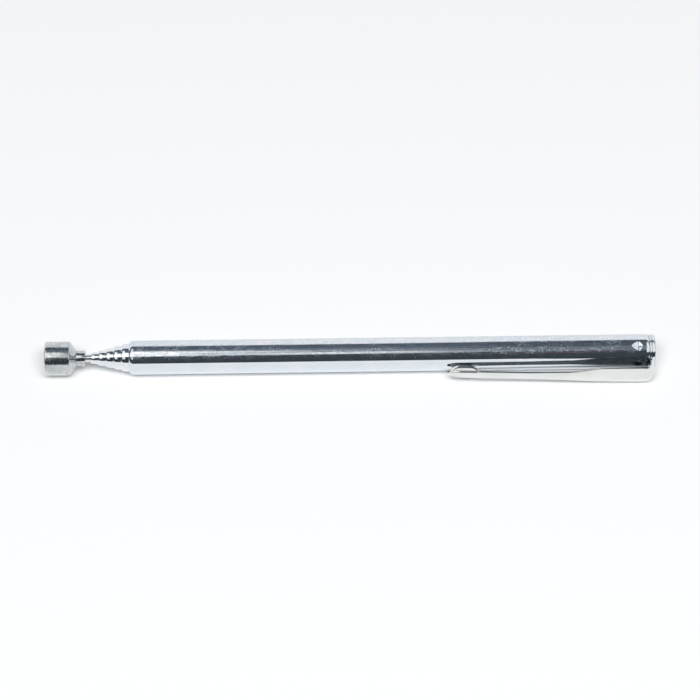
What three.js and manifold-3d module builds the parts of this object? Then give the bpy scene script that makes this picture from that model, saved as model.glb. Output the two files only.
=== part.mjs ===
// A telescoping magnetic pick-up tool the size of a pen, pushed shut and lying on its pocket clip.
// Sizes are in millimetres. The tool lies along X: the origin is the centre of the magnet's face,
// +X runs back to the end plug, +Z is up, and the clip lies on the -Y side, resting on the table.
import * as THREE from "three";
import * as BufferGeometryUtils from "three/addons/utils/BufferGeometryUtils.js";
import Module from "manifold-3d";

// Stages, from the solid rod in the middle outwards
const tubeCount = 5;
const rodRadius = 0.83;
const tubeWall = 0.18;
const slideSpace = 0.24;
const barrelWall = 0.43;
const overallLength = 128.5;
const rodShowing = 1.04;
const tipStep = 1.634;

// Rounded, rolled-in mouths of the tubes and the barrel
const mouthClearance = 0.05;
const mouthLand = 0.5;
const mouthShoulder = 0.4;
const mouthEdge = 0.08;
const tubeNoseLength = 1.2;
const barrelNoseLength = 1.1;

// Stop bead, split friction sleeve and stop bush at the rear of each stage
const beadHeight = 0.14;
const beadLength = 0.8;
const beadFlank = 0.25;
const sleeveLength = 12;
const sleeveSlit = 30;
const bushLength = 4;
const runningClearance = 0.04;
const endPlay = 0.1;
const seatGap = 0.01;

// Magnet head and the neck that joins it to the rod
const headRadius = 3.59;
const headLength = 5.15;
const headChamfer = 0.4;
const headBackChamfer = 0.12;
const headConeLength = 1.35;
const neckRadius = 1.65;
const neckLength = 1.93;
const neckChamfer = 0.15;
const cupWall = 0.6;
const magnetLength = 3.2;
const rodSocketDepth = 2.05;

// End plug with its domed head, and the dimples that stake the barrel to it
const plugShankLength = 10;
const plugHeadLength = 1.2;
const plugRim = 0.45;
const plugLead = 0.4;
const plugCrownRadius = 0.5;
const stakeFromEnd = 2.7;
const stakeRadius = 1.1;
const stakeDepth = 0.35;
const stakeRoom = 0.1;
const stakeCount = 4;

// Pocket clip, stamped from one crowned strip: a ring, a tab with a round bend, and a long arm whose
// sides are folded in near its tip to make a foot that rubs on the barrel
const sheet = 0.45;
const clipGap = 2.86;
const clipCrownRadius = 4.6;
const clipTabHalfWidth = 2.2;
const clipHeelHalfWidth = 2.72;
const clipTabRoot = 0.2;
const clipBendRadius = 1.9;
const clipJog = 0.5;
const clipArmLength = 41.5;
const clipShoulderAt = 9.7;
const clipShoulderHalfWidth = 2.42;
const clipShoulderDrop = 0.2;
const clipCutLength = 5.6;
const clipCutHalfWidth = 1.46;
const clipWaistAt = 24;
const clipWaistHalfWidth = 1.13;
const clipWaistDrop = 0.72;
const clipTipHalfWidth = 1.08;
const clipTipDrop = 1.33;
const clipTipRound = 2.6;
const clipTipCurl = 0.5;
const clipTipCurlLength = 3;
const clipFootFromTip = 3.5;
const clipFootHalfLength = 3;
const clipFootLean = 0.18;
const clipTouchGap = 0.05;
const clipFloorGap = 0.07;
const clipEdge = 0.12;
const clipFlexGap = 0.05;

// Facets round each turned piece, always a multiple of twelve
const wideSides = 48;
const middleSides = 36;
const narrowSides = 24;

const chrome = new THREE.MeshStandardMaterial({ color: 0xc9cdd2, roughness: 0.12, metalness: 1 });
const nickel = new THREE.MeshStandardMaterial({ color: 0xb9bcc0, roughness: 0.32, metalness: 1 });
const clipSteel = new THREE.MeshStandardMaterial({ color: 0xd3d5d6, roughness: 0.22, metalness: 1 });
const steelWire = new THREE.MeshStandardMaterial({ color: 0xb4b8bc, roughness: 0.2, metalness: 1 });
const brass = new THREE.MeshStandardMaterial({ color: 0xb08d4a, roughness: 0.35, metalness: 1 });
const bronze = new THREE.MeshStandardMaterial({ color: 0xa8703f, roughness: 0.35, metalness: 1 });
const magnetAlloy = new THREE.MeshStandardMaterial({ color: 0x8d8f92, roughness: 0.3, metalness: 1 });

const wasm = await Module();
wasm.setup();

const tool = new THREE.Group();

function add(name, geometry, material, parent = tool) {
  const mesh = new THREE.Mesh(geometry, material);
  mesh.name = name;
  parent.add(mesh);
}

// Stage 0 is the barrel, stages 1 to tubeCount are the tubes, and the last one is the rod
const lastStage = tubeCount + 1;

function outerRadius(stage) {
  if (stage === lastStage) {
    return rodRadius;
  }
  const wall = stage === 0 ? barrelWall : tubeWall;
  return outerRadius(stage + 1) + slideSpace + wall;
}

function boreRadius(stage) {
  return outerRadius(stage + 1) + slideSpace;
}

function mouthRadius(stage) {
  return outerRadius(stage + 1) + mouthClearance;
}

function sidesFor(radius) {
  if (radius > 3.3) {
    return wideSides;
  }
  return radius > 2.3 ? middleSides : narrowSides;
}

// Places along X
const neckStart = headLength + headConeLength;
const neckEnd = neckStart + neckLength;

function tipX(stage) {
  return neckEnd + rodShowing + (tubeCount - stage) * tipStep;
}

const plugHeadStart = overallLength - plugHeadLength;
const barrelEnd = plugHeadStart - sheet;
const plugStart = plugHeadStart - plugShankLength;
const rearX = plugStart - endPlay;
const bushStart = rearX - bushLength;
const sleeveEnd = bushStart - endPlay;
const sleeveStart = sleeveEnd - sleeveLength;
const beadEnd = sleeveStart - endPlay;
const beadStart = beadEnd - beadLength;
const rodStart = neckStart - rodSocketDepth + endPlay;

// LatheGeometry turns about Y: this brings Y to X, Z to Y and X to Z
const latheToTool = new THREE.Matrix4().set(0, 1, 0, 0, 0, 0, 1, 0, 1, 0, 0, 0, 0, 0, 0, 1);

// ExtrudeGeometry runs along Z: this brings Z to X, X to Y and Y to Z
const extrudeToTool = new THREE.Matrix4().set(0, 0, 1, 0, 1, 0, 0, 0, 0, 1, 0, 0, 0, 0, 0, 1);

// A turned piece from pairs of radius and x, given up the outside and back down the inside
function turned(profile, sides) {
  const points = profile.map(([radius, x]) => new THREE.Vector2(radius, x));
  return new THREE.LatheGeometry(points, sides).applyMatrix4(latheToTool);
}

function ring(inner, outer, start, end, sides) {
  return turned([[inner, start], [outer, start], [outer, end], [inner, end], [inner, start]], sides);
}

// Quarter of an ellipse from a mouth's edge back to the full radius
function noseArc(edgeRadius, fullRadius, start, length, steps = 4) {
  const arc = [];
  for (let i = 0; i <= steps; i += 1) {
    const angle = (i / steps) * (Math.PI / 2);
    arc.push([
      edgeRadius + (fullRadius - edgeRadius) * Math.sin(angle),
      start + length * (1 - Math.cos(angle)),
    ]);
  }
  return arc;
}

// The inside of a tube from its rear to its mouth, with the shoulder that stops the next stage's bead
function boreProfile(stage, rear) {
  const tip = tipX(stage);
  return [
    [boreRadius(stage), rear],
    [boreRadius(stage), tip + mouthLand + mouthShoulder],
    [mouthRadius(stage), tip + mouthLand],
    [mouthRadius(stage), tip],
  ];
}

// The rolled bead ahead of the friction sleeve
function beadProfile(radius) {
  return [
    [radius, beadStart],
    [radius + beadHeight, beadStart + beadFlank],
    [radius + beadHeight, beadEnd - beadFlank],
    [radius, beadEnd],
  ];
}

// How far the strip's edge curls in below its middle
function crownSag(across) {
  return clipCrownRadius - Math.sqrt(clipCrownRadius * clipCrownRadius - across * across);
}

// Direction of the clip, turned down from -Y until its lower edge all but meets the table
const barrelRadius = outerRadius(0);
const clipHeelHeight = barrelRadius + clipGap + sheet;
const clipCorner = clipHeelHeight - crownSag(clipHeelHalfWidth);
const clipTilt = Math.asin((barrelRadius - clipFloorGap) / Math.hypot(clipCorner, clipHeelHalfWidth))
  - Math.atan2(clipHeelHalfWidth, clipCorner);

// Pushes the wall inwards at each stake, the inside with the outside
function stakeBarrel(geometry) {
  const position = geometry.attributes.position;
  const stakeX = barrelEnd - stakeFromEnd;
  for (let i = 0; i < position.count; i += 1) {
    const x = position.getX(i);
    const y = position.getY(i);
    const z = position.getZ(i);
    const radius = Math.hypot(y, z);
    const turn = Math.atan2(-z, -y) - clipTilt;
    const pitch = (2 * Math.PI) / stakeCount;
    const offset = (turn - Math.round(turn / pitch) * pitch) * barrelRadius;
    const distance = Math.hypot(offset, x - stakeX);
    if (distance < stakeRadius) {
      const push = stakeDepth * 0.5 * (1 + Math.cos((Math.PI * distance) / stakeRadius));
      const shrink = (radius - push) / radius;
      position.setXYZ(i, x, y * shrink, z * shrink);
    }
  }
  return geometry;
}

function makeBarrel() {
  const stakeRows = [];
  const rows = 6;
  for (let i = 0; i <= rows; i += 1) {
    stakeRows.push(barrelEnd - stakeFromEnd + stakeRadius * ((2 * i) / rows - 1));
  }
  const outside = [
    ...noseArc(mouthRadius(0) + mouthEdge, barrelRadius, tipX(0), barrelNoseLength),
    ...stakeRows.map((x) => [barrelRadius, x]),
    [barrelRadius, barrelEnd],
  ];
  const inside = [
    [boreRadius(0), barrelEnd],
    ...stakeRows.toReversed().map((x) => [boreRadius(0), x]),
    ...boreProfile(0, plugStart).slice(1),
  ];
  const profile = [...outside, ...inside, outside[0]];
  add("barrel", stakeBarrel(turned(profile, wideSides)), chrome);
}

function makeTube(stage) {
  const radius = outerRadius(stage);
  const nose = noseArc(mouthRadius(stage) + mouthEdge, radius, tipX(stage), tubeNoseLength);
  const profile = [
    ...nose,
    ...beadProfile(radius),
    [radius, rearX],
    ...boreProfile(stage, rearX),
    nose[0],
  ];
  add(`tube_${stage}`, turned(profile, sidesFor(radius)), chrome);
}

function makeRod() {
  const profile = [
    [0, rodStart],
    [rodRadius, rodStart],
    ...beadProfile(rodRadius),
    [rodRadius, rearX],
    [0, rearX],
  ];
  add("rod", turned(profile, narrowSides), steelWire);
}

// The split sleeve drags in the outer tube's bore, and the stage that it rides on turns inside it
function makeFrictionSleeve(stage) {
  const inner = outerRadius(stage) + runningClearance;
  const outer = boreRadius(stage - 1) - runningClearance;
  const slit = THREE.MathUtils.degToRad(sleeveSlit);
  const from = Math.PI + slit / 2;
  const to = 3 * Math.PI - slit / 2;
  const section = new THREE.Shape();
  section.absarc(0, 0, outer, from, to, false);
  section.absarc(0, 0, inner, to, from, true);
  const facet = 360 / narrowSides;
  const geometry = new THREE.ExtrudeGeometry(section, {
    depth: sleeveLength,
    bevelEnabled: false,
    curveSegments: Math.round((360 - sleeveSlit) / facet),
  });
  geometry.applyMatrix4(extrudeToTool).translate(sleeveStart, 0, 0);
  add(`friction_sleeve_${stage}`, geometry, bronze);
}

// The bush pressed on a stage's rear end, which holds its sleeve in place and centres it in the bore
function makeStopBush(stage) {
  const inner = outerRadius(stage) + seatGap;
  const outer = boreRadius(stage - 1) - runningClearance;
  add(`stop_bush_${stage}`, ring(inner, outer, bushStart, rearX, sidesFor(outerRadius(stage))), brass);
}

function makeMagnetHead() {
  const magnetRadius = headRadius - cupWall;
  const socketRadius = rodRadius + seatGap;
  const cup = [
    [0, magnetLength + seatGap],
    [magnetRadius, magnetLength + seatGap],
    [magnetRadius, 0],
    [headRadius - headChamfer, 0],
    [headRadius - headChamfer * 0.3, headChamfer * 0.3],
    [headRadius, headChamfer],
    [headRadius, headLength - headBackChamfer],
    [headRadius - headBackChamfer, headLength],
    [neckRadius, neckStart],
    [socketRadius, neckStart],
    [socketRadius, neckStart - rodSocketDepth],
    [0, neckStart - rodSocketDepth],
  ];
  add("magnet_cup", turned(cup, wideSides), nickel);

  const magnet = [
    [0, 0],
    [magnetRadius - seatGap, 0],
    [magnetRadius - seatGap, magnetLength],
    [0, magnetLength],
  ];
  add("magnet", turned(magnet, wideSides), magnetAlloy);

  const ferrule = [
    [socketRadius, neckStart + seatGap],
    [neckRadius, neckStart + seatGap],
    [neckRadius, neckEnd - neckChamfer],
    [neckRadius - neckChamfer, neckEnd],
    [socketRadius, neckEnd],
    [socketRadius, neckStart + seatGap],
  ];
  add("neck_ferrule", turned(ferrule, narrowSides), nickel);
}

function makeEndPlug() {
  const shank = boreRadius(0) - seatGap;
  const groove = shank - stakeDepth - stakeRoom;
  const stakeX = barrelEnd - stakeFromEnd;
  const rimX = plugHeadStart + plugRim;
  const dome = [];
  const steps = 6;
  for (let i = 0; i <= steps; i += 1) {
    const angle = (i / steps) * (Math.PI / 2);
    dome.push([
      plugCrownRadius + (barrelRadius - plugCrownRadius) * Math.cos(angle),
      rimX + (overallLength - rimX) * Math.sin(angle),
    ]);
  }
  const profile = [
    [0, plugStart],
    [shank - plugLead, plugStart],
    [shank, plugStart + plugLead],
    [shank, stakeX - stakeRadius - stakeDepth],
    [groove, stakeX - stakeRadius],
    [groove, stakeX + stakeRadius],
    [shank, stakeX + stakeRadius + stakeDepth],
    [shank, plugHeadStart],
    [barrelRadius, plugHeadStart],
    ...dome,
    [0, overallLength],
  ];
  add("end_plug", turned(profile, wideSides), chrome);
}

// Places across the strip, from edge to edge, that its sections have points at
const stripAcross = [-1, -0.6, -0.2, 0.2, 0.6, 1];

// A section of the strip: its outer face, one edge, its inner face and the other edge. It leans from
// facing +X at 0 to facing -Y at a right angle, and foot is how far its sides are folded in
function stripSection({ x, height, lean, half, crown = 1, foot = 0 }) {
  const outward = new THREE.Vector3(Math.cos(lean), -Math.sin(lean), 0);
  const point = (across, depth) => new THREE.Vector3(x, -height, 0)
    .addScaledVector(outward, -depth - crown * crownSag(across))
    .setZ(across);
  const outer = stripAcross.map((place) => point(place * (half - clipEdge), 0));
  const narrowed = half * (1 - (crown * sheet) / clipCrownRadius) - foot * clipFootLean;
  const inner = stripAcross.toReversed().map((place) => point(
    place * narrowed,
    Math.abs(place) < 0.5 ? sheet : sheet + foot,
  ));
  return [...outer, point(half, clipEdge), ...inner, point(-half, clipEdge)];
}

// A closed skin over sections of the strip, given from the tip to the ring
function lofted(sections) {
  const count = sections[0].length;
  const positions = sections.flat().flatMap((point) => [point.x, point.y, point.z]);
  const indices = [];
  for (let row = 0; row + 1 < sections.length; row += 1) {
    for (let i = 0; i < count; i += 1) {
      const here = row * count + i;
      const next = row * count + ((i + 1) % count);
      indices.push(here, here + count, next, next, here + count, next + count);
    }
  }
  const wide = stripAcross.length;
  const cap = [[wide - 1, wide, wide + 1], [2 * wide, 2 * wide + 1, 0]];
  for (let i = 0; i + 1 < wide; i += 1) {
    cap.push([i, i + 1, 2 * wide - i - 1], [i, 2 * wide - i - 1, 2 * wide - i]);
  }
  const last = (sections.length - 1) * count;
  for (const [a, b, c] of cap) {
    indices.push(a, b, c);
    indices.push(last + c, last + b, last + a);
  }
  const geometry = new THREE.BufferGeometry();
  geometry.setAttribute("position", new THREE.Float32BufferAttribute(positions, 3));
  geometry.setIndex(indices);
  return geometry;
}

function asSolid(geometry) {
  const bare = geometry.clone();
  bare.deleteAttribute("normal");
  bare.deleteAttribute("uv");
  const merged = BufferGeometryUtils.mergeVertices(bare, 1e-5);
  const vertProperties = merged.attributes.position.array;
  const triVerts = new Uint32Array(merged.index.array);
  return new wasm.Manifold(new wasm.Mesh({ numProp: 3, vertProperties, triVerts }));
}

function asGeometry(solid) {
  const mesh = solid.getMesh();
  const geometry = new THREE.BufferGeometry();
  geometry.setAttribute("position", new THREE.BufferAttribute(mesh.vertProperties, 3));
  geometry.setIndex(new THREE.BufferAttribute(mesh.triVerts, 1));
  return geometry;
}

// Smooth curve through pairs of place and value
function smoothThrough(pairs, place) {
  const last = pairs.length - 2;
  let i = pairs.findIndex(([at]) => at > place) - 1;
  if (i < 0) {
    i = place < pairs[0][0] ? 0 : last;
  }
  const slope = (k) => {
    const before = pairs[Math.max(k - 1, 0)];
    const after = pairs[Math.min(k + 1, pairs.length - 1)];
    return (after[1] - before[1]) / (after[0] - before[0]);
  };
  const [from, low] = pairs[i];
  const [to, high] = pairs[i + 1];
  const span = to - from;
  const t = (place - from) / span;
  const rise = 3 * t * t - 2 * t * t * t;
  const leaving = (t * t * t - 2 * t * t + t) * slope(i) * span;
  const arriving = (t * t * t - t * t) * slope(i + 1) * span;
  return low + (high - low) * rise + leaving + arriving;
}

// Straight lines through pairs of place and value
function linearThrough(pairs, place) {
  const i = Math.max(1, pairs.findIndex(([at]) => at >= place));
  const [from, low] = pairs[i - 1];
  const [to, high] = pairs[i];
  return THREE.MathUtils.mapLinear(place, from, to, low, high);
}

// The clip is drawn pointing to -Y, then turned down about X to the table
const clip = new THREE.Group();
clip.rotation.x = clipTilt;
tool.add(clip);
const clipHingeX = plugHeadStart + clipJog - clipBendRadius;

// Middle of the arm's outer face above the tool's axis, at a distance from the bend
function armHeight(distance) {
  const intoCurl = Math.max(0, distance - (clipArmLength - clipTipCurlLength)) / clipTipCurlLength;
  return smoothThrough([
    [0, clipHeelHeight],
    [clipShoulderAt, clipHeelHeight - clipShoulderDrop],
    [clipWaistAt, clipHeelHeight - clipWaistDrop],
    [clipArmLength, clipHeelHeight - clipTipDrop],
  ], distance) - clipTipCurl * intoCurl * intoCurl;
}

function armHalfWidth(distance) {
  const straight = linearThrough([
    [0, clipHeelHalfWidth],
    [clipShoulderAt, clipShoulderHalfWidth],
    [clipShoulderAt + clipCutLength, clipCutHalfWidth],
    [clipWaistAt, clipWaistHalfWidth],
    [clipArmLength, clipTipHalfWidth],
  ], distance);
  const intoRound = Math.max(0, distance - (clipArmLength - clipTipRound)) / clipTipRound;
  return straight * Math.sqrt(1 - 0.9 * intoRound * intoRound);
}

// The foot's folded sides reach in until they all but touch the barrel
const clipFootAt = clipArmLength - clipFootFromTip;
const clipFootDepth = armHeight(clipFootAt) - sheet - barrelRadius - clipTouchGap;

function armSection(distance) {
  const fromFoot = Math.min(1, Math.abs(distance - clipFootAt) / clipFootHalfLength);
  return stripSection({
    x: clipHingeX - clipFlexGap - distance,
    height: armHeight(distance),
    lean: Math.PI / 2,
    half: armHalfWidth(distance),
    foot: clipFootDepth * (1 - fromFoot ** 2),
  });
}

function makeClipArm() {
  const places = [];
  const footStart = clipFootAt - clipFootHalfLength;
  const coarse = 13;
  for (let i = 0; i < coarse; i += 1) {
    places.push((i / coarse) * footStart);
  }
  const fine = 13;
  for (let i = 0; i <= fine; i += 1) {
    places.push(THREE.MathUtils.lerp(footStart, clipArmLength, Math.sin((i / fine) * (Math.PI / 2))));
  }
  places.push(clipShoulderAt, clipShoulderAt + clipCutLength);
  places.sort((a, b) => b - a);
  add("clip_arm", lofted(places.map(armSection)), clipSteel, clip);
}

// The ring is trapped between the barrel's end and the plug's head, and its tab bends into the arm
function makeClipRing() {
  const rootHeight = barrelRadius + clipTabRoot;
  const spread = Math.asin(clipTabHalfWidth / barrelRadius);
  const outline = new THREE.Shape();
  outline.moveTo(-rootHeight, clipTabHalfWidth);
  outline.lineTo(-rootHeight, -clipTabHalfWidth);
  outline.absarc(0, 0, barrelRadius, Math.PI + spread, 3 * Math.PI - spread, false);
  const hole = new THREE.Path();
  hole.absarc(0, 0, boreRadius(0), 0, 2 * Math.PI, true);
  outline.holes.push(hole);
  const washer = new THREE.ExtrudeGeometry(outline, {
    depth: sheet,
    bevelEnabled: false,
    curveSegments: wideSides,
  });
  washer.applyMatrix4(extrudeToTool).translate(barrelEnd, 0, 0);

  const face = plugHeadStart;
  const bendFoot = clipHeelHeight - clipBendRadius;
  const tab = [
    { x: face, height: boreRadius(0) + sheet / 2, lean: 0, half: clipTabHalfWidth, crown: 0 },
    { x: face, height: rootHeight, lean: 0, half: clipTabHalfWidth, crown: 0 },
    {
      x: face + clipJog / 2,
      height: (rootHeight + bendFoot) / 2,
      lean: 0,
      half: (clipTabHalfWidth + clipHeelHalfWidth) / 2,
      crown: 0.5,
    },
  ];
  const bend = 7;
  for (let i = 0; i <= bend; i += 1) {
    const lean = (i / bend) * (Math.PI / 2);
    tab.push({
      x: clipHingeX + clipBendRadius * Math.cos(lean),
      height: bendFoot + clipBendRadius * Math.sin(lean),
      lean,
      half: clipHeelHalfWidth,
    });
  }
  const joined = asSolid(washer).add(asSolid(lofted(tab.toReversed().map(stripSection))));
  add("clip_ring", asGeometry(joined), clipSteel, clip);
}

makeBarrel();
makeEndPlug();
for (let stage = 1; stage <= lastStage; stage += 1) {
  if (stage < lastStage) {
    makeTube(stage);
  }
  makeFrictionSleeve(stage);
  makeStopBush(stage);
}
makeRod();
makeMagnetHead();
makeClipRing();
makeClipArm();

export default tool;
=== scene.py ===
"""A telescoping magnetic pick-up tool, pen sized and pushed shut, dressed for its render.

The tool lies along X on a pale table, its magnet head to the left and its pocket clip to the front.
"""
import math

import bmesh
import bpy
from mathutils import Matrix, Vector


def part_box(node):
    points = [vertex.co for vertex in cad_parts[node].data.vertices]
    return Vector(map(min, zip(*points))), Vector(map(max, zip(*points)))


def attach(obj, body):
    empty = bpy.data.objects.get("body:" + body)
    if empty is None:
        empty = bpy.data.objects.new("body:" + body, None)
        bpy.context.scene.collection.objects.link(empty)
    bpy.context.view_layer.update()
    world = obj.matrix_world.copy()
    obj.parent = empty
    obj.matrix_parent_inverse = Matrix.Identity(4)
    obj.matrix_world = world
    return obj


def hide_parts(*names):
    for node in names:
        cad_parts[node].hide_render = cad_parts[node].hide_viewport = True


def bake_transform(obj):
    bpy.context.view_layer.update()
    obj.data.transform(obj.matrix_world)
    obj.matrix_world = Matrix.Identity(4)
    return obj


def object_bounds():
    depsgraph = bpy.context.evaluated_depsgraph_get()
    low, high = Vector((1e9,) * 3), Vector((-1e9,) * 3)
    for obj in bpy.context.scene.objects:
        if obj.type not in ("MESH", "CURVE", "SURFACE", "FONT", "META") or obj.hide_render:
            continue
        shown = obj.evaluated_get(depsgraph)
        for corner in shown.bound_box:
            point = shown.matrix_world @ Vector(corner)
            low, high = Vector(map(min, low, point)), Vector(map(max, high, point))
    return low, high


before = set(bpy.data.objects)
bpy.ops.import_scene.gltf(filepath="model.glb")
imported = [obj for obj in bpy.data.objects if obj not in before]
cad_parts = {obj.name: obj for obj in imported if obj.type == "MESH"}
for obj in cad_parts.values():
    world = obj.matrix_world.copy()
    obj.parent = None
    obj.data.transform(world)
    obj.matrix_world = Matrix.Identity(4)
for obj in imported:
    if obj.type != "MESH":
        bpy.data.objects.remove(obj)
cad_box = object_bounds()

MM = 0.001
STAGES = 6

# Sizes that the frame's boxes don't give, in metres: the fits and the rolled-in mouths
SLIDE_SPACE = 0.24 * MM
SEAT_GAP = 0.01 * MM
BEAD_HEIGHT = 0.14 * MM
BEAD_LENGTH = 0.8 * MM
BEAD_FROM_REAR = 17 * MM
MOUTH_CLEARANCE = 0.05 * MM
MOUTH_LAND = 0.5 * MM
MOUTH_SHOULDER = 0.4 * MM
MOUTH_DEPTH = 3 * MM
MOUTH_BEND = 0.1 * MM
MOUTH_EDGE = 0.08 * MM
MOUTH_LIP = 0.02 * MM
TUBE_NOSE = 1.2 * MM
BARREL_NOSE = 1.1 * MM

# The barrel's rolled rear end, the clip's ring behind it, and the plug's head with its groove and dome
REAR_ROLL = 0.9 * MM
REAR_ROLL_DEPTH = 0.3614 * MM
RING_EDGE = 0.1 * MM
RING_BORE_EDGE = 0.04 * MM
RING_SLOPE = 0.08 * MM
PLUG_LEAD = 0.4 * MM
PLUG_RIM = 0.6 * MM
PLUG_RIM_SLOPE = 0.16 * MM
PLUG_GROOVE = 0.07 * MM
PLUG_FLAT = 0.5 * MM
PLUG_DOME_FROM = math.radians(14)

# The magnet head and its neck
HEAD_RIM = 0.4 * MM
HEAD_LIP = 0.08 * MM
HEAD_BACK_EDGE = 0.16 * MM
CUP_WALL = 0.6 * MM
CUP_CONE = 1.35 * MM
MAGNET_EDGE = 0.12 * MM
ROD_SOCKET = 2.05 * MM
NECK_CLEARANCE = 0.01 * MM
NECK_FRONT_EDGE = 0.08 * MM
NECK_BACK_EDGE = 0.16 * MM
NECK_BORE_EDGE = 0.05 * MM

# Punch marks round the barrel's end. Skew puts their points off centre, to the rear, rim softens their
# edges, and outline is a power that makes them diamonds at 1 and ovals at 2
STAKE_COUNT = 6
STAKE_TURN = math.radians(66)
STAKE_FROM_END = 2.75 * MM
STAKE_RADIUS = 1.2 * MM
STAKE_DEPTH = 0.33 * MM
STAKE_ROOM = 0.1 * MM
STAKE_SKEW = 0.35
STAKE_RIM = 0.1
STAKE_OUTLINE = 1.3

# The clip: one crowned strip, with places along its arm measured from the bend
SHEET = 0.45 * MM
CLIP_GAP = 2.85 * MM
CLIP_CROWN_RADIUS = 4.6 * MM
CLIP_TAB_HALF_WIDTH = 2.2 * MM
CLIP_TAB_ROOT = 0.2 * MM
CLIP_JOG = 0.5 * MM
CLIP_BEND_RADIUS = 1.9 * MM
CLIP_LENGTH = 41.5 * MM
CLIP_HEEL_HALF_WIDTH = 2.72 * MM
CLIP_SHOULDER_AT = 9.7 * MM
CLIP_SHOULDER_HALF_WIDTH = 2.42 * MM
CLIP_SHOULDER_DROP = 0.2 * MM
CLIP_CUT_LENGTH = 5.6 * MM
CLIP_CUT_HALF_WIDTH = 1.46 * MM
CLIP_WAIST_AT = 24 * MM
CLIP_WAIST_HALF_WIDTH = 1.13 * MM
CLIP_WAIST_DROP = 0.72 * MM
CLIP_TIP_HALF_WIDTH = 1.08 * MM
CLIP_TIP_DROP = 1.33 * MM
CLIP_TIP_ROUND = 2.6 * MM
CLIP_TIP_ROUNDNESS = 0.9
CLIP_TIP_CURL = 0.5 * MM
CLIP_TIP_CURL_LENGTH = 3 * MM
CLIP_FOOT_FROM_TIP = 3.5 * MM
CLIP_FOOT_HALF_LENGTH = 3 * MM
CLIP_FOOT_LEAN = 0.07
CLIP_FOOT_THICKNESS = 0.4 * MM
CLIP_TOUCH_GAP = 0.06 * MM
CLIP_FLOOR_GAP = 0.07 * MM
CLIP_EDGE = 0.12 * MM
CLIP_INNER_EDGE = 0.05 * MM
CLIP_FOLD_EDGE = 0.32 * MM
CLIP_CREASE = math.radians(16)
# A face of the clip looks inwards where its normal's part to the rear, or away from the barrel, is
# below these
TAB_LOOKS_IN = -0.5
ARM_LOOKS_IN = -0.6

# How finely pieces are divided
NOSE_STEPS = 14
REAR_ROLL_STEPS = 18
BEAD_STEPS = 8
DOME_STEPS = 24
STAKE_ROWS = 26
CLIP_STEPS_ACROSS = 24
CLIP_EDGE_STEPS = 8
CLIP_TAB_STEPS = 10
CLIP_BEND_STEPS = 24
CLIP_ARM_STEPS = 60
CLIP_FOOT_STEPS = 48
WELD_DISTANCE = 1e-7
CREASE = math.radians(32)

# Finishes: the heights above the axis between which dust and marks build up, the tint of a finger
# mark with its strength and the light that it scatters, and how much marks of each kind dull the metal
SETTLED_FROM = 1.7 * MM
SETTLED_TO = 2.9 * MM
GREASE = (0.4, 0.56, 0.68, 1)
GREASE_TINTS = 0.4
GREASE_SCATTERS = 0.1
GREASE_DULLS = 0.28
SCRATCHES_DULL = 0.12
PITS_DULL = 0.2
PITS_TINT = 0.6
PIT_GREY = (0.42, 0.45, 0.5)
PIT_GREYNESS = 0.35
PIT_DEPTH = 2.0
FLECK_GREY = (0.2, 0.21, 0.215, 1)
# The clip's faces that look at the barrel carry painted shade, and are this much duller too
PAINTED_SHADE_DULLS = 0.15
BUMP_STRENGTH = 0.35
BUMP_DISTANCE = 0.004 * MM

# The camera: where it looks, from how far, and how much of the table its frame spans
CAMERA_DISTANCE = 0.6
CAMERA_ELEVATION = math.radians(47)
CAMERA_YAW = math.radians(1.02)
FRAME_WIDTH = 0.1473
VIEW_CENTRE_X = 64.0 * MM
VIEW_CENTRE_RISE = 1.03 * MM
SENSOR_WIDTH = 36
CAMERA_NEAR = 0.01

# The key lamp: how far up from the horizon in front, how far away, how big and how strong
LAMP_ANGLE = math.radians(62)
LAMP_DISTANCE = 1.8
LAMP_SIZE = (1.8, 0.8)
LAMP_POWER = 38.0

# The table, and the plain light that the room gives
TABLE_SIZE = 6
TABLE_PAPER = (0.93, 0.94, 0.95, 1)
TABLE_GLOW = (0.955, 0.975, 0.99, 1)
TABLE_GLOW_SHARE = 0.15
ROOM_LIGHT = 0.15
ROOM_WHITE = (0.97, 0.985, 1, 1)

# The room that the metal mirrors. Its heights are angles up from the horizon in front, over the top, to
# the one behind, in degrees, and its breadth is how far a reflection leans to the tool's left or right.
# The tool shows 1 / LEAN_REACH more lean for each millimetre further back, and none at LEAN_NOUGHT_AT
LEAN_REACH = 600
LEAN_NOUGHT_AT = 53.3
NIGHT = (0.040, 0.050, 0.060, 1)
DUSK = (0.082, 0.108, 0.136, 1)
HAZE = (0.14, 0.175, 0.22, 1)
PLUM = (0.115, 0.08, 0.13, 1)
LAMP_WHITE = (1.0, 1.0, 1.0, 1)
# Bands of height: from, to and, where they fade, over how much
DUSK_RISES = (44, 66)
HAZE_BAND = (68, 92, 10)
PLUM_BAND = (43, 49, 3)
DARK_FROM = 6
DARK_FROM_BY_CLIP = 1.5
DARK_TO = 131
DARK_ENDS_SOONER = 4.0
FAR_TUBE_ANGLE = 78.0
NEAR_TUBE_ANGLE = 61.5
# Stretches of the tool over which the room changes, in millimetres from the magnet's face
TUBE_MOUTHS = (8.3, 17.3)
SMALLER_MOUTHS = (8.3, 14.3)
FAR_TUBE_DIMS = (26.3, 35.3)
FAR_TUBE_ENDS = (35.3, 48.5)
NEAR_TUBE_STARTS = (17.3, 41.3)
NEAR_TUBE_ENDS = (58.1, 84.5)
MIDDLE_OF_BARREL = (17.3, 74.3)
HAZE_ENDS = (80.3, 89.3)
NIGHT_FALLS = (80.3, 92.3)
PLUM_STRETCH = (92.9, 113.3)
BY_CLIP = (95.3, 104.3)
# Soft boxes past the tool's ends, each as lean from, lean to and fade, then angle from, to and fade
LEFT_BOX = ((-0.5, -0.22, 0.04), (37, 108, 4))
RIGHT_BOX = ((0.3, 0.965, 0.03), (42, 112, 5))
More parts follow.
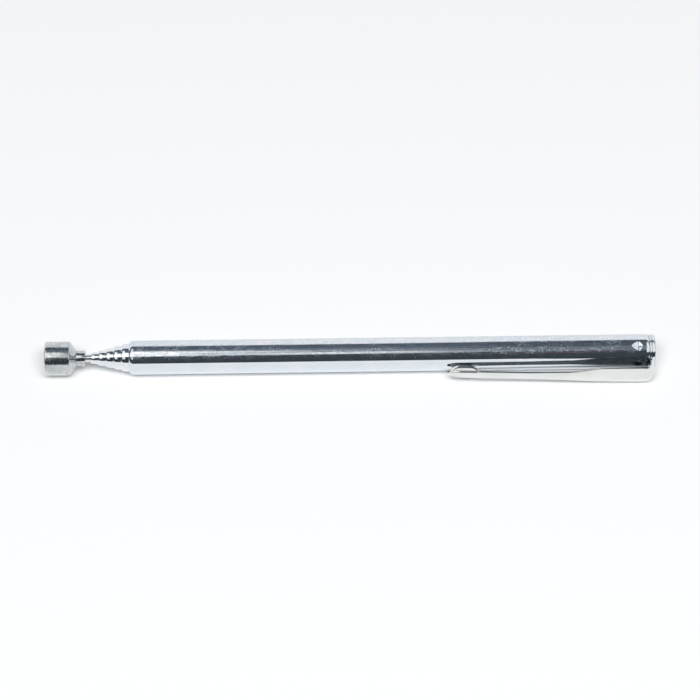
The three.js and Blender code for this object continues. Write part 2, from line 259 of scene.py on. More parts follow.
# Lean and height at which the walls past the tool's ends begin
WALLS_FROM = (0.87, 0.9)
WALLS_RISE = (-0.02, 0.02)


def node_span(node):
    """Front and rear ends of a node along X, and its radius."""
    low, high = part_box(node)
    return low[0], high[0], high[2]


BARREL_TIP, BARREL_END, BARREL_RADIUS = node_span("barrel")
PLUG_START, PLUG_END, _ = node_span("end_plug")
HEAD_START, HEAD_CONE_END, HEAD_RADIUS = node_span("magnet_cup")
NECK_START, NECK_END, NECK_RADIUS = node_span("neck_ferrule")
MAGNET_START, MAGNET_END, MAGNET_RADIUS = node_span("magnet")
ROD_START, ROD_END, ROD_BEAD_RADIUS = node_span("rod")
ROD_RADIUS = ROD_BEAD_RADIUS - BEAD_HEIGHT
TUBES = {stage: node_span(f"tube_{stage}") for stage in range(1, STAGES)}
FLOOR_Z = cad_box[0][2]
STAKE_X = BARREL_END - STAKE_FROM_END
RING_REAR = BARREL_END + SHEET
CLIP_HINGE_X = RING_REAR + CLIP_JOG - CLIP_BEND_RADIUS
CLIP_HEEL_HEIGHT = BARREL_RADIUS + CLIP_GAP + SHEET


def outer_radius(stage):
    """Radius of a stage: 0 is the barrel, 1 to 5 are the tubes and 6 is the rod."""
    if stage == 0:
        return BARREL_RADIUS
    if stage == STAGES:
        return ROD_RADIUS
    return TUBES[stage][2] - BEAD_HEIGHT


def bore_radius(stage):
    return outer_radius(stage + 1) + SLIDE_SPACE


def opening_radius(stage):
    """Radius of the hole in a stage's rolled-in mouth."""
    return outer_radius(stage + 1) + MOUTH_CLEARANCE


def crown_sag(across):
    """How far the clip's strip curls in below its middle."""
    return CLIP_CROWN_RADIUS - math.sqrt(CLIP_CROWN_RADIUS**2 - across**2)


def clip_tilt():
    """Turn of the clip down from -Y, until its lower edge all but meets the table."""
    corner = CLIP_HEEL_HEIGHT - crown_sag(CLIP_HEEL_HALF_WIDTH)
    reach = math.hypot(corner, CLIP_HEEL_HALF_WIDTH)
    return math.asin((BARREL_RADIUS - CLIP_FLOOR_GAP) / reach) - math.atan2(CLIP_HEEL_HALF_WIDTH, corner)


CLIP_TILT = clip_tilt()

# Shader groups and materials


def new_group(name, inputs, outputs):
    """An empty shader group with (name, kind, default) inputs and (name, kind) outputs."""
    tree = bpy.data.node_groups.new(name, "ShaderNodeTree")
    for socket_name, kind, default in inputs:
        socket = tree.interface.new_socket(socket_name, in_out="INPUT", socket_type=kind)
        socket.default_value = default
    for socket_name, kind in outputs:
        tree.interface.new_socket(socket_name, in_out="OUTPUT", socket_type=kind)
    return tree, tree.nodes.new("NodeGroupInput"), tree.nodes.new("NodeGroupOutput")


class Wiring:
    """Short calls that add and join nodes in one tree."""

    def __init__(self, tree):
        self.tree = tree

    def put(self, socket, value):
        """Joins a socket to the one that feeds it, or sets it to a plain value."""
        if isinstance(value, bpy.types.NodeSocket):
            self.tree.links.new(value, socket)
        else:
            socket.default_value = value

    def node(self, kind, settings=None, **inputs):
        """A new node with its settings, and a value or a socket for each input that is named."""
        made = self.tree.nodes.new(kind)
        for key, value in (settings or {}).items():
            setattr(made, key, value)
        for key, value in inputs.items():
            self.put(made.inputs[key], value)
        return made

    def group(self, tree, **inputs):
        return self.node("ShaderNodeGroup", {"node_tree": tree}, **inputs)

    def math(self, operation, first, second=0.0, third=0.0):
        made = self.tree.nodes.new("ShaderNodeMath")
        made.operation = operation
        for socket, value in zip(made.inputs, (first, second, third)):
            self.put(socket, value)
        return made.outputs[0]

    def product(self, first, *others):
        for other in others:
            first = self.math("MULTIPLY", first, other)
        return first

    def ramp(self, value, low, high, to_low=0.0, to_high=1.0):
        """Smooth change from to_low at low to to_high at high."""
        made = self.tree.nodes.new("ShaderNodeMapRange")
        made.interpolation_type = "SMOOTHSTEP"
        for socket, given in zip(made.inputs, (value, low, high, to_low, to_high)):
            self.put(socket, given)
        return made.outputs[0]

    def band(self, value, low, high, soft):
        """1 between low and high, fading to 0 over soft on either side."""
        rise = self.ramp(value, low - soft, low)
        fall = self.ramp(value, high, high + soft, 1.0, 0.0)
        return self.product(rise, fall)

    def mix(self, factor, first, second, clamped=True):
        """Blend of two colours. Where it isn't clamped, a factor over 1 goes past the second one."""
        made = self.tree.nodes.new("ShaderNodeMix")
        made.data_type = "RGBA"
        made.clamp_factor = clamped
        self.put(made.inputs[0], factor)
        self.put(made.inputs[6], first)
        self.put(made.inputs[7], second)
        return made.outputs[2]

    def mix_shaders(self, factor, first, second):
        made = self.tree.nodes.new("ShaderNodeMixShader")
        for socket, value in zip(made.inputs, (factor, first, second)):
            self.put(socket, value)
        return made.outputs[0]

    def noise(self, place, scale, detail, roughness):
        inputs = {"Vector": place, "Scale": scale, "Detail": detail, "Roughness": roughness}
        return self.node("ShaderNodeTexNoise", **inputs).outputs["Fac"]

    def stretched(self, place, x, across):
        """The place with X and the directions across it scaled, which makes patterns longer or shorter."""
        return self.node("ShaderNodeMapping", Vector=place, Scale=(x, across, across)).outputs["Vector"]


def smudges_group():
    """Finger marks and dust, most of it on top: patches broken up into streaks and specks, as a mask."""
    tree, given, out = new_group(
        "finger_smudges",
        [("Place", "NodeSocketVector", (0, 0, 0)), ("Amount", "NodeSocketFloat", 0.5)],
        [("Mask", "NodeSocketFloat")],
    )
    w = Wiring(tree)
    place = given.outputs["Place"]
    height = w.node("ShaderNodeSeparateXYZ", Vector=place).outputs["Z"]
    patches = w.noise(w.stretched(place, 1.0, 1.8), scale=85, detail=3, roughness=0.6)
    patches = w.ramp(patches, 0.32, 0.62)
    streaks = w.noise(w.stretched(place, 0.5, 1.4), scale=1300, detail=3, roughness=0.7)
    streaks = w.ramp(streaks, 0.42, 0.62)
    specks = w.ramp(w.noise(place, scale=3300, detail=2, roughness=0.7), 0.46, 0.6)
    texture = w.math("ADD", w.product(streaks, 0.5), w.product(specks, 0.5))
    mask = w.product(w.math("MULTIPLY_ADD", patches, 0.5, 0.75), texture)
    mask = w.product(mask, w.ramp(height, SETTLED_FROM, SETTLED_TO, 0.2, 1.0))
    w.put(out.inputs["Mask"], w.product(mask, given.outputs["Amount"]))
    return tree


def scratches_group():
    """Fine lengthwise scratches from sliding in and out, with a few cross ones, as a height and a mask."""
    tree, given, out = new_group(
        "fine_scratches",
        [("Place", "NodeSocketVector", (0, 0, 0)), ("Amount", "NodeSocketFloat", 0.5)],
        [("Height", "NodeSocketFloat"), ("Mask", "NodeSocketFloat")],
    )
    w = Wiring(tree)
    place = given.outputs["Place"]
    along = w.noise(w.stretched(place, 0.02, 1.0), scale=6000, detail=2, roughness=0.8)
    along = w.ramp(along, 0.6, 0.72)
    across = w.noise(w.stretched(place, 1.0, 0.06), scale=5200, detail=1, roughness=0.5)
    across = w.ramp(across, 0.69, 0.76)
    where = w.ramp(w.noise(place, scale=240, detail=2, roughness=0.5), 0.45, 0.6)
    lines = w.math("MAXIMUM", along, w.product(across, where))
    mask = w.product(lines, given.outputs["Amount"])
    w.put(out.inputs["Mask"], mask)
    w.put(out.inputs["Height"], w.product(mask, -1.0))
    return tree


def turning_group():
    """Rings left by a lathe tool or a polishing wheel, as a height."""
    tree, given, out = new_group(
        "turning_rings",
        [
            ("Place", "NodeSocketVector", (0, 0, 0)),
            ("Pitch", "NodeSocketFloat", 9000.0),
            ("Amount", "NodeSocketFloat", 0.5),
        ],
        [("Height", "NodeSocketFloat")],
    )
    w = Wiring(tree)
    place = w.stretched(given.outputs["Place"], 1.0, 0.03)
    rings = w.noise(place, scale=given.outputs["Pitch"], detail=3, roughness=0.7)
    w.put(out.inputs["Height"], w.product(rings, given.outputs["Amount"]))
    return tree


def pits_group():
    """Small pits and specks in plating, as a height and a mask."""
    tree, given, out = new_group(
        "plating_pits",
        [
            ("Place", "NodeSocketVector", (0, 0, 0)),
            ("Density", "NodeSocketFloat", 0.5),
            ("Scale", "NodeSocketFloat", 2600.0),
        ],
        [("Height", "NodeSocketFloat"), ("Mask", "NodeSocketFloat")],
    )
    w = Wiring(tree)
    cells = w.node(
        "ShaderNodeTexVoronoi",
        {"feature": "F1"},
        Vector=given.outputs["Place"],
        Scale=given.outputs["Scale"],
    )
    chosen = w.node("ShaderNodeSeparateColor", Color=cells.outputs["Color"]).outputs[0]
    chosen = w.math("LESS_THAN", chosen, given.outputs["Density"])
    mask = w.product(w.ramp(cells.outputs["Distance"], 0.16, 0.34, 1.0, 0.0), chosen)
    w.put(out.inputs["Mask"], mask)
    w.put(out.inputs["Height"], w.product(mask, -1.0))
    return tree


SMUDGES = smudges_group()
SCRATCHES = scratches_group()
TURNING = turning_group()
PITS = pits_group()


def start_tree(owner, output_kind):
    """Empties a material's or a world's tree, and gives its wiring and the socket for its shader."""
    owner.use_nodes = True
    owner.node_tree.nodes.clear()
    w = Wiring(owner.node_tree)
    return w, w.node(output_kind).inputs["Surface"]


def plated_metal(
    name, light, tint, roughness, smudge, scratch, ring=0.0, pit=0.0, pit_scale=2600.0, mottle=0.0,
    inner_shade=None,
):
    """Bright plating: a slight drift of tint, finger marks that dull it, scratches, turning and pits.

    Mottle is how much darker its grey flecks are. Given an inner shade colour, the faces marked as
    looking at the barrel take that colour, a painted shade, and a duller gloss.
    """
    material = bpy.data.materials.new(name)
    w, surface = start_tree(material, "ShaderNodeOutputMaterial")
    shader = w.node("ShaderNodeBsdfPrincipled")
    w.put(surface, shader.outputs[0])
    place = w.node("ShaderNodeTexCoord").outputs["Object"]
    marks = w.group(SMUDGES, Place=place, Amount=smudge).outputs["Mask"]
    lines = w.group(SCRATCHES, Place=place, Amount=scratch)
    rings = w.group(TURNING, Place=place, Amount=ring)
    pits = w.group(PITS, Place=place, Density=pit, Scale=pit_scale)

    drift = w.noise(w.stretched(place, 1.0, 2.0), scale=210, detail=3, roughness=0.6)
    colour = w.mix(w.ramp(drift, 0.35, 0.65), (*light, 1), (*tint, 1))
    if mottle:
        flecks = w.ramp(w.noise(place, scale=2900, detail=3, roughness=0.7), 0.4, 0.62)
        clouds = w.ramp(w.noise(place, scale=700, detail=2, roughness=0.5), 0.35, 0.65)
        colour = w.mix(w.product(w.math("ADD", flecks, clouds), mottle / 2), colour, FLECK_GREY)
    pit_colour = (*Vector(tint).lerp(Vector(PIT_GREY), PIT_GREYNESS), 1)
    colour = w.mix(w.product(pits.outputs["Mask"], PITS_TINT), colour, pit_colour)
    colour = w.mix(w.product(marks, GREASE_TINTS), colour, GREASE)
    rough = w.math("ADD", roughness, w.product(marks, GREASE_DULLS))
    rough = w.math("ADD", rough, w.product(lines.outputs["Mask"], SCRATCHES_DULL))
    rough = w.math("ADD", rough, w.product(pits.outputs["Mask"], PITS_DULL))
    # Painted shade: the faces marked as looking at the barrel take the dark colour, standing in for the
    # shade between clip and barrel
    if inner_shade:
        painted_shade = w.node("ShaderNodeAttribute", {"attribute_name": "painted_shade"}).outputs["Fac"]
        colour = w.mix(painted_shade, colour, (*inner_shade, 1))
        rough = w.math("ADD", rough, w.product(painted_shade, PAINTED_SHADE_DULLS))
    height = w.math("ADD", lines.outputs["Height"], rings.outputs["Height"])
    height = w.math("ADD", height, w.product(pits.outputs["Height"], PIT_DEPTH))
    bump = w.node("ShaderNodeBump", Height=height, Strength=BUMP_STRENGTH, Distance=BUMP_DISTANCE)
    w.put(shader.inputs["Base Color"], colour)
    w.put(shader.inputs["Metallic"], w.math("SUBTRACT", 1.0, w.product(marks, GREASE_SCATTERS)))
    w.put(shader.inputs["Roughness"], rough)
    w.put(shader.inputs["Normal"], bump.outputs["Normal"])
    return material


CHROME = plated_metal(
    "bright_chrome", light=(0.78, 0.79, 0.83), tint=(0.72, 0.775, 0.81),
    roughness=0.02, smudge=0.85, scratch=0.7, pit=0.03,
)
TUBE_CHROME = plated_metal(
    "tube_chrome", light=(0.80, 0.82, 0.84), tint=(0.75, 0.79, 0.83),
    roughness=0.02, smudge=0.25, scratch=1.0, ring=0.2, pit=0.02,
)
NICKEL = plated_metal(
    "dull_nickel", light=(0.72, 0.735, 0.74), tint=(0.63, 0.65, 0.655),
    roughness=0.125, smudge=0.4, scratch=0.6, ring=0.5, pit=0.4, pit_scale=3400.0, mottle=0.5,
)
# Its faces that look at the barrel are painted dark, a painted shade for the gap between clip and barrel
CLIP_PLATE = plated_metal(
    "clip_plate", light=(0.80, 0.81, 0.79), tint=(0.745, 0.765, 0.735),
    roughness=0.08, smudge=0.3, scratch=0.9, pit=0.02, inner_shade=(0.2, 0.225, 0.235),
)
WIRE_STEEL = plated_metal(
    "drawn_wire", light=(0.72, 0.73, 0.75), tint=(0.66, 0.67, 0.70),
    roughness=0.09, smudge=0.3, scratch=1.2, pit=0.02,
)
TURNED_BRASS = plated_metal(
    "turned_brass", light=(0.72, 0.52, 0.22), tint=(0.62, 0.44, 0.19),
    roughness=0.2, smudge=0.4, scratch=0.5, ring=1.0, pit=0.05,
)
SPRING_BRONZE = plated_metal(
    "spring_bronze", light=(0.62, 0.36, 0.18), tint=(0.52, 0.31, 0.17),
    roughness=0.24, smudge=0.5, scratch=1.0, pit=0.06,
)
MAGNET_NICKEL = plated_metal(
    "magnet_plating", light=(0.58, 0.58, 0.60), tint=(0.5, 0.5, 0.52),
    roughness=0.14, smudge=0.6, scratch=0.8, pit=0.12, pit_scale=4200.0,
)

# Turned pieces, each a profile swept once round the axis

# The circle that every sweep follows, wider than any piece
PATH_RADIUS = 10 * MM


def revolve_tree():
    """Sweeps a profile, whose X is radius less the path's own and whose Y is the place along the axis."""
    tree = bpy.data.node_groups.new("turned_piece", "GeometryNodeTree")
    face = tree.interface
    face.new_socket("Profile", in_out="INPUT", socket_type="NodeSocketGeometry")
    for name, kind, default in (
        ("Path Radius", "NodeSocketFloat", 0.01),
        ("Facets", "NodeSocketInt", 128),
        ("Weld", "NodeSocketFloat", WELD_DISTANCE),
    ):
        face.new_socket(name, in_out="INPUT", socket_type=kind).default_value = default
    face.new_socket("Finish", in_out="INPUT", socket_type="NodeSocketMaterial")
    face.new_socket("Geometry", in_out="OUTPUT", socket_type="NodeSocketGeometry")
    nodes = tree.nodes
    link = tree.links.new
    given = nodes.new("NodeGroupInput")
    out = nodes.new("NodeGroupOutput")
    profile = nodes.new("GeometryNodeMeshToCurve")
    path = nodes.new("GeometryNodeCurvePrimitiveCircle")
    upright = nodes.new("GeometryNodeSetCurveNormal")
    upright.mode = "Z_UP"
    sweep = nodes.new("GeometryNodeCurveToMesh")
    weld = nodes.new("GeometryNodeMergeByDistance")
    lay = nodes.new("GeometryNodeTransform")
    lay.inputs["Rotation"].default_value = (0, -math.pi / 2, 0)
    real = nodes.new("GeometryNodeRealizeInstances")
    finish = nodes.new("GeometryNodeSetMaterial")
    link(given.outputs["Profile"], profile.inputs["Mesh"])
    link(given.outputs["Facets"], path.inputs["Resolution"])
    link(given.outputs["Path Radius"], path.inputs["Radius"])
    link(path.outputs["Curve"], upright.inputs["Curve"])
    link(upright.outputs["Curve"], sweep.inputs["Curve"])
    link(profile.outputs["Curve"], sweep.inputs["Profile Curve"])
    link(sweep.outputs["Mesh"], weld.inputs["Geometry"])
    link(given.outputs["Weld"], weld.inputs["Distance"])
    link(weld.outputs["Geometry"], lay.inputs["Geometry"])
    link(lay.outputs["Geometry"], real.inputs["Geometry"])
    link(real.outputs["Geometry"], finish.inputs["Geometry"])
    link(given.outputs["Finish"], finish.inputs["Material"])
    link(finish.outputs["Geometry"], out.inputs["Geometry"])
    return tree


REVOLVE = revolve_tree()


def set_input(modifier, name, value):
    """Sets a geometry nodes input by its socket's identifier."""
    for item in modifier.node_group.interface.items_tree:
        if item.item_type == "SOCKET" and item.in_out == "INPUT" and item.name == name:
            modifier[item.identifier] = value
            return
    raise KeyError(name)


def new_object(name, mesh):
    made = bpy.data.objects.new(name, mesh)
    bpy.context.scene.collection.objects.link(made)
    return made


def plain_copy(name, obj):
    """The evaluated object as a plain mesh, in place of the object."""
    bpy.context.view_layer.update()
    evaluated = obj.evaluated_get(bpy.context.evaluated_depsgraph_get())
    mesh = bpy.data.meshes.new_from_object(evaluated)
    bpy.data.objects.remove(obj)
    mesh.name = name
    return new_object(name, mesh)


def tidy_faces(mesh, crease=CREASE):
    """Outward faces, shaded smooth but for edges sharper than crease."""
    work = bmesh.new()
    work.from_mesh(mesh)
    bmesh.ops.remove_doubles(work, verts=work.verts, dist=WELD_DISTANCE)
    bmesh.ops.recalc_face_normals(work, faces=work.faces)
    if work.calc_volume(signed=True) < 0:
        bmesh.ops.reverse_faces(work, faces=work.faces)
    work.to_mesh(mesh)
    work.free()
    mesh.shade_smooth()
    mesh.set_sharp_from_angle(angle=crease)


def rounded(corners, steps=4):
    """A profile from (radius, x, rounding) corners, each a curve that starts that far from it.

    Curves stay short of the middle of each side, so that two never meet.
    """

    def beside(here, other, rounding):
        side = other - here
        return here + side.normalized() * min(rounding, side.length * 0.49)

    points = []
    count = len(corners)
    for i, (radius, x, rounding) in enumerate(corners):
        here = Vector((radius, x))
        if rounding <= 0:
            points.append(here)
            continue
        before = Vector(corners[(i - 1) % count][:2])
        after = Vector(corners[(i + 1) % count][:2])
        start = beside(here, before, rounding)
        end = beside(here, after, rounding)
        for k in range(steps + 1):
            t = k / steps
            points.append(start * (1 - t) ** 2 + here * (2 * t * (1 - t)) + end * t**2)
    return points


def turned_solid(name, profile, material, facets=128, closed=True):
    """A turned mesh: profile points are (radius, x). An open profile starts and ends on the axis."""
    mesh = bpy.data.meshes.new(f"{name}_profile")
    count = len(profile)
    edges = [(i, i + 1) for i in range(count - 1)]
    if closed:
        edges.append((count - 1, 0))
    mesh.from_pydata([(point[0] - PATH_RADIUS, point[1], 0) for point in profile], edges, [])
    source = new_object(f"{name}_profile", mesh)
    modifier = source.modifiers.new("turned", "NODES")
    modifier.node_group = REVOLVE
    set_input(modifier, "Path Radius", PATH_RADIUS)
    set_input(modifier, "Facets", facets)
    set_input(modifier, "Finish", material)
    return plain_copy(name, source)


def finish_piece(piece, body, replaced):
    """Ties a piece to its body, where it has one, and hides the CAD nodes that it stands for."""
    if body:
        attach(piece, body)
    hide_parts(*replaced)


def turned(name, profile, material, body, replaced, facets=128, closed=True, staked=False):
    """A turned piece that rides on a body and stands for its CAD nodes."""
    piece = turned_solid(name, profile, material, facets, closed)
    if staked:
        press_stakes(piece.data)
    tidy_faces(piece.data)
    finish_piece(piece, body, replaced)


def nose(edge_radius, full_radius, tip, length, steps=NOSE_STEPS):
    """Quarter of an ellipse from the mouth's edge back to the full radius."""
    points = []
    for i in range(steps + 1):
        angle = math.pi / 2 * i / steps
        radius = edge_radius + (full_radius - edge_radius) * math.sin(angle)
        points.append(Vector((radius, tip + length * (1 - math.cos(angle)))))
    return points


def bead(radius, rear):
    """A rolled ring standing proud of a stage, as half a wave."""
    points = []
    for i in range(BEAD_STEPS + 1):
        t = i / BEAD_STEPS
        swell = BEAD_HEIGHT * math.sin(math.pi * t) ** 2
        points.append(Vector((radius + swell, rear - BEAD_FROM_REAR + BEAD_LENGTH * t)))
    return points


def mouth(stage, tip):
    """The rolled-in mouth from the bore's shoulder out to the tip."""
    bore = bore_radius(stage)
    opening = opening_radius(stage)
    corners = [
        (bore, tip + MOUTH_DEPTH, 0),
        (bore, tip + MOUTH_LAND + MOUTH_SHOULDER, MOUTH_BEND),
        (opening, tip + MOUTH_LAND, MOUTH_BEND),
        (opening, tip, MOUTH_LIP),
        (opening + MOUTH_EDGE, tip, 0),
    ]
    return rounded(corners, steps=3)[:-1]


def press_stakes(mesh):
    """Pointed punch marks round the barrel's end, steeper on their rear side."""
    pitch = 2 * math.pi / STAKE_COUNT
    for vertex in mesh.vertices:
        x, y, z = vertex.co
        turn = math.atan2(z, -y) - STAKE_TURN
        across = (turn - round(turn / pitch) * pitch) * BARREL_RADIUS / STAKE_RADIUS
        along = (x - STAKE_X) / STAKE_RADIUS - STAKE_SKEW
        along /= 1 - STAKE_SKEW if along > 0 else 1 + STAKE_SKEW
        off_point = (abs(along) ** STAKE_OUTLINE + abs(across) ** STAKE_OUTLINE) ** (1 / STAKE_OUTLINE)
        if off_point < 1:
            slope = math.hypot(1 - off_point, STAKE_RIM) - STAKE_RIM
            push = STAKE_DEPTH * slope / (math.hypot(1, STAKE_RIM) - STAKE_RIM)
            shrink = 1 - push / math.hypot(y, z)
            vertex.co = (x, y * shrink, z * shrink)


def make_barrel():
    rows = [STAKE_X + STAKE_RADIUS * (2 * i / STAKE_ROWS - 1) for i in range(STAKE_ROWS + 1)]
    profile = nose(opening_radius(0) + MOUTH_EDGE, BARREL_RADIUS, BARREL_TIP, BARREL_NOSE)
    profile += [Vector((BARREL_RADIUS, x)) for x in rows]
    roll = nose(BARREL_RADIUS - REAR_ROLL_DEPTH, BARREL_RADIUS, 0, REAR_ROLL, REAR_ROLL_STEPS)
    profile += [Vector((radius, BARREL_END - from_end)) for radius, from_end in reversed(roll)]
    profile += [Vector((bore_radius(0), x)) for x in [BARREL_END, *reversed(rows)]]
    profile += mouth(0, BARREL_TIP)
    turned("barrel_shell", profile, CHROME, "barrel", ["barrel"], facets=224, staked=True)


def make_tubes():
    for stage, (tip, rear, _) in TUBES.items():
        radius = outer_radius(stage)
        profile = nose(opening_radius(stage) + MOUTH_EDGE, radius, tip, TUBE_NOSE)
        profile += bead(radius, rear)
        profile += [Vector((radius, rear)), Vector((bore_radius(stage), rear))]
        profile += mouth(stage, tip)
        turned(f"tube_{stage}_shell", profile, TUBE_CHROME, f"tube_{stage}", [f"tube_{stage}"])


def make_rod():
    profile = [Vector((0, ROD_START)), Vector((ROD_RADIUS, ROD_START))]
    profile += bead(ROD_RADIUS, ROD_END)
    profile += [Vector((ROD_RADIUS, ROD_END)), Vector((0, ROD_END))]
    turned("rod_wire", profile, WIRE_STEEL, "rod", ["rod"], facets=64, closed=False)


def make_head():
    """The magnet's cup, the magnet in it, and the neck that joins it to the rod."""
    socket = ROD_RADIUS + NECK_CLEARANCE
    bed = MAGNET_END + SEAT_GAP
    cup = [
        (0, bed, 0),
        (HEAD_RADIUS - CUP_WALL, bed, 0),
        (HEAD_RADIUS - CUP_WALL, HEAD_START, HEAD_LIP),
        (HEAD_RADIUS, HEAD_START, HEAD_RIM),
        (HEAD_RADIUS, HEAD_CONE_END - CUP_CONE, HEAD_BACK_EDGE),
        (NECK_RADIUS, HEAD_CONE_END, 0),
        (socket, HEAD_CONE_END, 0),
        (socket, HEAD_CONE_END - ROD_SOCKET, 0),
        (0, HEAD_CONE_END - ROD_SOCKET, 0),
    ]
    turned("magnet_head", rounded(cup, steps=6), NICKEL, "rod", ["magnet_cup"], facets=160, closed=False)

    disc = [
        (0, MAGNET_START, 0),
        (MAGNET_RADIUS, MAGNET_START, MAGNET_EDGE),
        (MAGNET_RADIUS, MAGNET_END, MAGNET_EDGE),
        (0, MAGNET_END, 0),
    ]
    turned("magnet_disc", rounded(disc), MAGNET_NICKEL, "rod", ["magnet"], closed=False)

    collar = [
        (socket, NECK_START, 0),
        (NECK_RADIUS, NECK_START, NECK_FRONT_EDGE),
        (NECK_RADIUS, NECK_END, NECK_BACK_EDGE),
        (socket, NECK_END, NECK_BORE_EDGE),
    ]
    turned("neck_collar", rounded(collar, steps=5), NICKEL, "rod", ["neck_ferrule"], facets=96)


def make_end_plug():
    shank = bore_radius(0) - SEAT_GAP
    groove = shank - STAKE_DEPTH - STAKE_ROOM
    rim_end = RING_REAR + PLUG_RIM
    shoulder = BARREL_RADIUS - PLUG_RIM_SLOPE
    plug = rounded(
        [
            (0, PLUG_START, 0),
            (shank, PLUG_START, PLUG_LEAD),
            (shank, STAKE_X - STAKE_RADIUS - STAKE_DEPTH, 0),
            (groove, STAKE_X - STAKE_RADIUS, 0),
            (groove, STAKE_X + STAKE_RADIUS, 0),
            (shank, STAKE_X + STAKE_RADIUS + STAKE_DEPTH, 0),
            (shank, RING_REAR, 0),
            (BARREL_RADIUS, RING_REAR, RING_EDGE),
            (shoulder, rim_end, RING_EDGE),
            (shoulder - PLUG_GROOVE, rim_end + PLUG_GROOVE / 2, 0),
        ]
    )
    dome_start = rim_end + PLUG_GROOVE
    for i in range(DOME_STEPS + 1):
        angle = PLUG_DOME_FROM + (math.pi / 2 - PLUG_DOME_FROM) * i / DOME_STEPS
        reach = (shoulder - PLUG_FLAT) * math.cos(angle) / math.cos(PLUG_DOME_FROM)
        rise = (math.sin(angle) - math.sin(PLUG_DOME_FROM)) / (1 - math.sin(PLUG_DOME_FROM))
        plug.append(Vector((PLUG_FLAT + reach, dome_start + (PLUG_END - dome_start) * rise)))
    plug.append(Vector((0, PLUG_END)))
    turned("end_cap", plug, CHROME, "barrel", ["end_plug"], facets=192, closed=False)


# The clip, drawn pointing to -Y and turned down about X to the table


def eased(t):
    """Smooth step from 0 to 1."""
    return 3 * t**2 - 2 * t**3


def strip_section(x, height, lean, half, crown=1.0, foot=0.0):
    """A ring of points round the strip, which leans from facing +X at 0 to facing -Y at a right angle.

    Half is half its width, crown the share of its crown, and foot how far its sides are folded in.
    """
    outward = Vector((math.cos(lean), -math.sin(lean), 0))

    def point(across, depth):
        return Vector((x, -height, across)) - outward * (depth + crown * crown_sag(across))

    def corner(reach, depth, rounding, towards):
        """Quarter of a circle round an edge, from the face at this depth to the cut side."""
        points = []
        for i in range(1, CLIP_EDGE_STEPS + 1):
            turn = math.pi / 2 * i / CLIP_EDGE_STEPS
            across = reach - rounding * (1 - math.sin(turn))
            points.append(point(across, depth + towards * rounding * (1 - math.cos(turn))))
        return points

    narrowed = half * (1 - crown * SHEET / CLIP_CROWN_RADIUS) - foot * CLIP_FOOT_LEAN
    edge = CLIP_EDGE + (CLIP_FOLD_EDGE - CLIP_EDGE) * min(1, foot / SHEET)
    places = [2 * i / CLIP_STEPS_ACROSS - 1 for i in range(CLIP_STEPS_ACROSS + 1)]
    outer = [point(place * (half - edge), 0) for place in places]
    inner = []
    for place in places:
        across = -place * (narrowed - CLIP_INNER_EDGE)
        folded = (abs(across) - narrowed + 2 * CLIP_FOOT_THICKNESS) / CLIP_FOOT_THICKNESS
        inner.append(point(across, SHEET + foot * eased(min(1, max(0, folded)))))
    fold = corner(half, 0, edge, 1)
    lip = corner(narrowed, SHEET + foot, CLIP_INNER_EDGE, -1)[::-1]
    # Two more points near the ends of the cut side keep it flat between its rounded edges
    side = fold + [fold[-1].lerp(lip[0], t) for t in (0.08, 0.92)] + lip
    other_side = [Vector((place.x, place.y, -place.z)) for place in reversed(side)]
    return outer + side + inner + other_side


def smooth_through(pairs, place):
    """Smooth curve through (place, value) pairs."""
    last = len(pairs) - 2
    i = max(0, min(last, sum(at <= place for at, _ in pairs) - 1))

    def slope(k):
        before = pairs[max(k - 1, 0)]
        after = pairs[min(k + 1, len(pairs) - 1)]
        return (after[1] - before[1]) / (after[0] - before[0])

    start, low = pairs[i]
    end, high = pairs[i + 1]
    t = (place - start) / (end - start)
    leaving = (t**3 - 2 * t**2 + t) * slope(i) * (end - start)
    arriving = (t**3 - t**2) * slope(i + 1) * (end - start)
    return low + (high - low) * eased(t) + leaving + arriving


def linear_through(pairs, place):
    """Straight lines through (place, value) pairs."""
    i = max(1, min(len(pairs) - 1, sum(at < place for at, _ in pairs)))
    start, low = pairs[i - 1]
    end, high = pairs[i]
    return low + (high - low) * (place - start) / (end - start)


def arm_height(distance):
    """Height of the arm's outer face above the axis, at a distance from the bend."""
    straight = smooth_through(
        [
            (0, CLIP_HEEL_HEIGHT),
            (CLIP_SHOULDER_AT, CLIP_HEEL_HEIGHT - CLIP_SHOULDER_DROP),
            (CLIP_WAIST_AT, CLIP_HEEL_HEIGHT - CLIP_WAIST_DROP),
            (CLIP_LENGTH, CLIP_HEEL_HEIGHT - CLIP_TIP_DROP),
        ],
        distance,
    )
    into_curl = max(0, distance - (CLIP_LENGTH - CLIP_TIP_CURL_LENGTH)) / CLIP_TIP_CURL_LENGTH
    return straight - CLIP_TIP_CURL * into_curl**2


def arm_half_width(distance):
    straight = linear_through(
        [
            (0, CLIP_HEEL_HALF_WIDTH),
            (CLIP_SHOULDER_AT, CLIP_SHOULDER_HALF_WIDTH),
            (CLIP_SHOULDER_AT + CLIP_CUT_LENGTH, CLIP_CUT_HALF_WIDTH),
            (CLIP_WAIST_AT, CLIP_WAIST_HALF_WIDTH),
            (CLIP_LENGTH, CLIP_TIP_HALF_WIDTH),
        ],
        distance,
    )
    into_round = max(0, distance - (CLIP_LENGTH - CLIP_TIP_ROUND)) / CLIP_TIP_ROUND
    return straight * math.sqrt(1 - CLIP_TIP_ROUNDNESS * into_round**2)


def arm_section(distance):
    foot_at = CLIP_LENGTH - CLIP_FOOT_FROM_TIP
    foot_depth = arm_height(foot_at) - SHEET - BARREL_RADIUS - CLIP_TOUCH_GAP
    from_foot = min(1, abs(distance - foot_at) / CLIP_FOOT_HALF_LENGTH)
    return strip_section(
        CLIP_HINGE_X - distance,
        arm_height(distance),
        math.pi / 2,
        arm_half_width(distance),
        foot=foot_depth * (1 - from_foot**3),
    )


